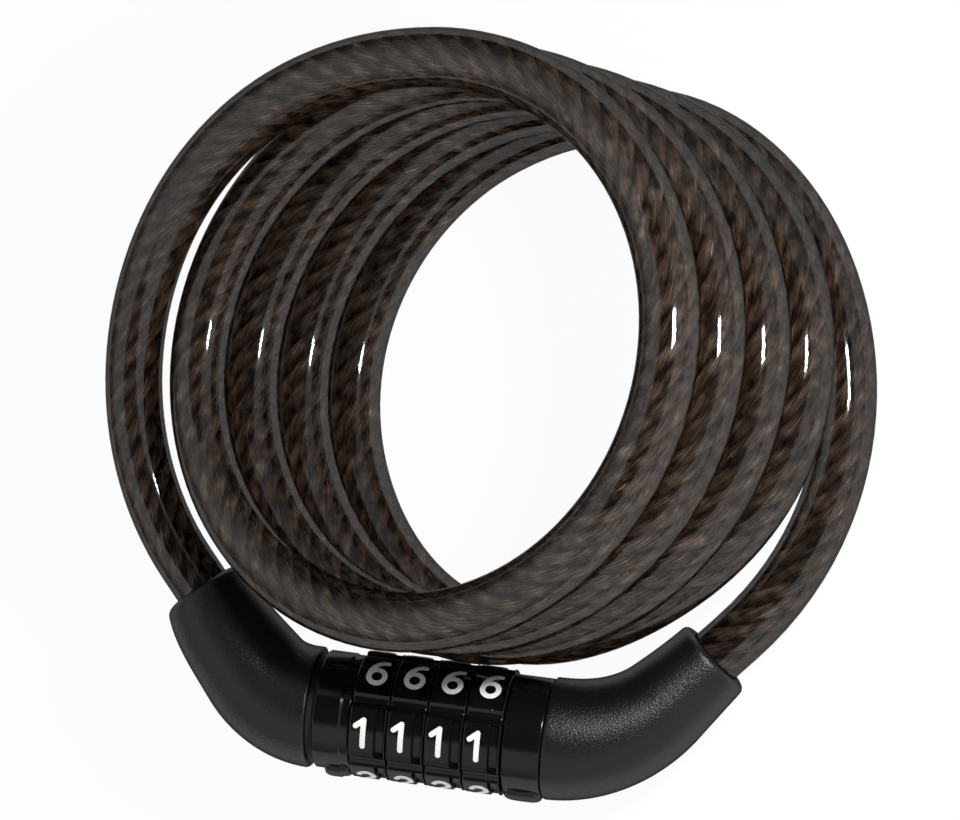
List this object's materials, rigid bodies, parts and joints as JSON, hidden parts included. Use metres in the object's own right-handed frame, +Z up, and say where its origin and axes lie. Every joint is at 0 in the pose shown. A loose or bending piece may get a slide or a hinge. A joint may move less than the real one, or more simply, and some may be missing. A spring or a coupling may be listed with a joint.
{
  "type": "cable lock",
  "caption": "Coiled steel cable in a clear smoky vinyl jacket whose ends meet in a combination lock with turning number wheels between two bent black housings",
  "frame": {"origin": "point on the surface the lock lies on, straight below the middle of the number wheels", "axes": "X runs level along the dial axis from the plug's side to the core's side, Y runs from the dials towards the coil, Z is up"},
  "size_m": [0.1053, 0.1022, 0.0489],
  "materials": {
    "housing_plastic": "fine-grained black moulding, slightly soft",
    "ring_plastic": "smooth black moulding",
    "wheel_plastic": "smooth black moulding with white printed numbers",
    "seal_rubber": "soft black ring",
    "jacket_vinyl": "clear smoke-brown vinyl through which the rope shows",
    "rope_steel": "twisted galvanised wire",
    "lock_steel": "turned and hardened steel",
    "spring_steel": "bright spring steel",
    "gate_brass": "turned brass",
    "anchor_zinc": "die-cast zinc alloy",
    "ferrule_steel": "drawn steel sleeve"
  },
  "bodies": {
    "dial_body": {"right_housing": "housing_plastic", "left_end_ring": "ring_plastic", "right_end_ring": "ring_plastic", "core_tube": "lock_steel", "core_plug": "lock_steel", "core_pin": "lock_steel", "eject_spring": "spring_steel", "click_spring": "spring_steel", "spacer_washers": "lock_steel", "wave_washer": "spring_steel", "retaining_ring": "spring_steel", "right_anchor": "anchor_zinc", "right_ferrule": "ferrule_steel", "right_clamp_screw": "lock_steel", "cable_jacket": "jacket_vinyl", "steel_rope": "rope_steel"},
    "plug": {"left_housing": "housing_plastic", "left_anchor": "anchor_zinc", "locking_bolt": "lock_steel", "left_ferrule": "ferrule_steel", "left_clamp_screw": "lock_steel", "bolt_pin": "lock_steel", "seam_seal": "seal_rubber"},
    "wheel_1": {"dial_wheel_1": "wheel_plastic", "gate_ring_1": "gate_brass"},
    "wheel_2": {"dial_wheel_2": "wheel_plastic", "gate_ring_2": "gate_brass"},
    "wheel_3": {"dial_wheel_3": "wheel_plastic", "gate_ring_3": "gate_brass"},
    "wheel_4": {"dial_wheel_4": "wheel_plastic", "gate_ring_4": "gate_brass"}
  },
  "joints": [
    {"name": "plug_slide", "type": "slide", "parent": "dial_body", "child": "plug", "axis": [-0.9744, 0, 0.225], "range_m": [0, 0.03], "deforming": ["cable_jacket", "steel_rope", "eject_spring"]},
    {"name": "wheel_1_turn", "type": "hinge", "parent": "dial_body", "child": "wheel_1", "pos_m": [0, 0, 0.0136], "axis": [0.9744, 0, -0.225], "continuous": true},
    {"name": "wheel_2_turn", "type": "hinge", "parent": "dial_body", "child": "wheel_2", "pos_m": [0, 0, 0.0136], "axis": [0.9744, 0, -0.225], "continuous": true},
    {"name": "wheel_3_turn", "type": "hinge", "parent": "dial_body", "child": "wheel_3", "pos_m": [0, 0, 0.0136], "axis": [0.9744, 0, -0.225], "continuous": true},
    {"name": "wheel_4_turn", "type": "hinge", "parent": "dial_body", "child": "wheel_4", "pos_m": [0, 0, 0.0136], "axis": [0.9744, 0, -0.225], "continuous": true}
  ]
}
